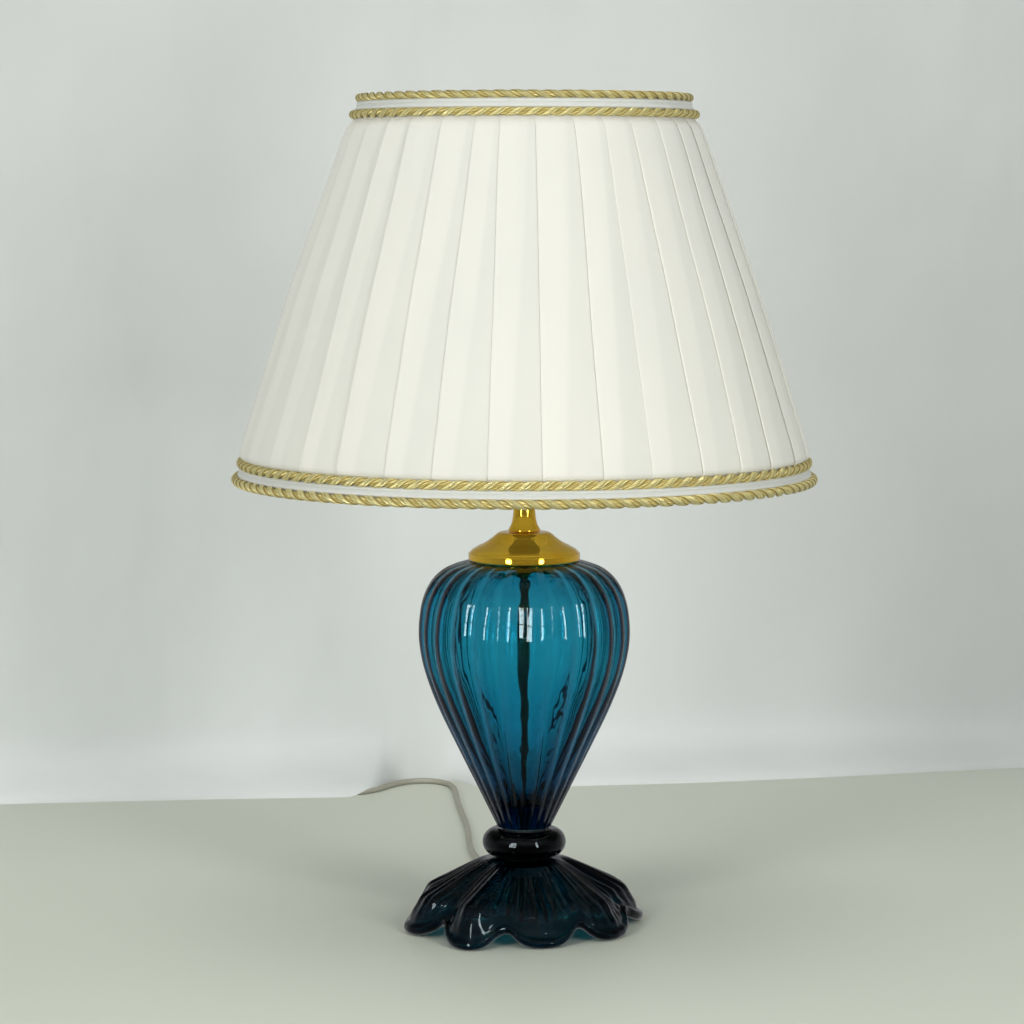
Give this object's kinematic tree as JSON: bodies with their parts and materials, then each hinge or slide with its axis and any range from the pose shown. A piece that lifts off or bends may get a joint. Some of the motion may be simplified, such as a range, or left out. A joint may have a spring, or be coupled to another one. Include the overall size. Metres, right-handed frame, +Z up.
{
  "type": "table lamp",
  "caption": "Table lamp with a ribbed glass baluster on a ruffled glass foot, brass cap and neck, a pleated empire shade with twisted cord edges, and a mains lead with switch and plug.",
  "frame": {"origin": "on the floor under the lamp's axis, at the middle of the shade's outline", "axes": "+Z up the threaded tube to the shade, -Y the front, +X to the right seen from the front; the lead leaves towards +Y"},
  "size_m": [0.3554, 0.768, 0.5073],
  "materials": {
    "teal_glass": "polished, ribbed",
    "dark_glass": "polished",
    "brass": "polished",
    "zinc_steel": "zinc plated",
    "clear_plastic": "clear",
    "rubber": "matt",
    "black_plastic": "fine grain",
    "ceramic": "unglazed",
    "opal_glass": "opal",
    "white_plastic": "satin",
    "white_metal": "satin white",
    "liner": "matt film",
    "fabric": "pleated weave",
    "gold_cord": "twisted metallic yarn",
    "white_tape": "ribbed tape",
    "lead_plastic": "soft sheath"
  },
  "bodies": {
    "base": {"glass_foot": "dark_glass", "glass_knop": "dark_glass", "foot_seat_washer": "clear_plastic", "body_seat_washer": "clear_plastic", "glass_body": "teal_glass", "brass_cap": "brass", "brass_neck": "brass", "threaded_tube": "brass", "inner_lead": "lead_plastic", "foot_gasket": "rubber", "foot_washer": "zinc_steel", "foot_nut": "zinc_steel", "cord_outlet": "black_plastic", "strain_relief": "black_plastic", "holder_cup": "black_plastic", "holder_sleeve": "black_plastic", "holder_insulator": "ceramic", "holder_screw_shell": "brass", "holder_contact": "brass", "shade_ring_lower": "black_plastic", "cord_lead": "lead_plastic", "cord_tail": "lead_plastic", "cord_end": "lead_plastic", "cord_coil": "lead_plastic", "coil_tie": "black_plastic", "switch_base": "lead_plastic", "switch_cover": "lead_plastic", "switch_pin": "zinc_steel", "switch_screw_left": "zinc_steel", "switch_screw_right": "zinc_steel", "switch_contacts": "brass", "plug_body": "lead_plastic", "plug_relief": "lead_plastic", "plug_pin_left": "brass", "plug_pin_right": "brass"},
    "shade": {"shade_hub_ring": "white_metal", "shade_arm_1": "white_metal", "shade_arm_2": "white_metal", "shade_arm_3": "white_metal", "shade_bottom_wire": "white_metal", "shade_top_wire": "white_metal", "shade_liner": "liner", "shade_pleated_cover": "fabric", "bottom_trim_lower_cord": "gold_cord", "bottom_trim_upper_cord": "gold_cord", "bottom_trim_tape": "white_tape", "top_trim_lower_cord": "gold_cord", "top_trim_upper_cord": "gold_cord", "top_trim_tape": "white_tape"},
    "bulb_slide": {"bulb_insulator": "rubber", "bulb_contact": "zinc_steel"},
    "bulb": {"bulb_globe": "opal_glass", "bulb_collar": "white_plastic", "bulb_screw_shell": "brass"},
    "ring_slide": {"ring_washer": "zinc_steel"},
    "ring": {"shade_ring_upper": "black_plastic"},
    "rocker": {"switch_rocker": "black_plastic"}
  },
  "joints": [
    {"name": "shade_swivel", "type": "hinge", "parent": "base", "child": "shade", "pos_m": [0, 0, 0.3091], "axis": [0, 0, 1], "continuous": true},
    {"name": "bulb_rise", "type": "slide", "parent": "base", "child": "bulb_slide", "axis": [0, 0, 1], "range_m": [0, 0.0182]},
    {"name": "bulb_turn", "type": "hinge", "parent": "bulb_slide", "child": "bulb", "pos_m": [0, 0, 0.3006], "axis": [0, 0, 1], "range_deg": [0, 1800]},
    {"name": "ring_rise", "type": "slide", "parent": "base", "child": "ring_slide", "axis": [0, 0, 1], "range_m": [0, 0.0081]},
    {"name": "ring_turn", "type": "hinge", "parent": "ring_slide", "child": "ring", "pos_m": [0, 0, 0.3114], "axis": [0, 0, 1], "range_deg": [0, 1152]},
    {"name": "rocker_tip", "type": "hinge", "parent": "base", "child": "rocker", "pos_m": [-0.085, 0.513, 0.0126], "axis": [0, 1, 0], "range_deg": [0, 18]}
  ],
  "couplings": [
    {"joint": "bulb_rise", "follows": "bulb_turn", "m_per_rad": 0.00057758},
    {"joint": "ring_rise", "follows": "ring_turn", "m_per_rad": 0.00039789}
  ]
}
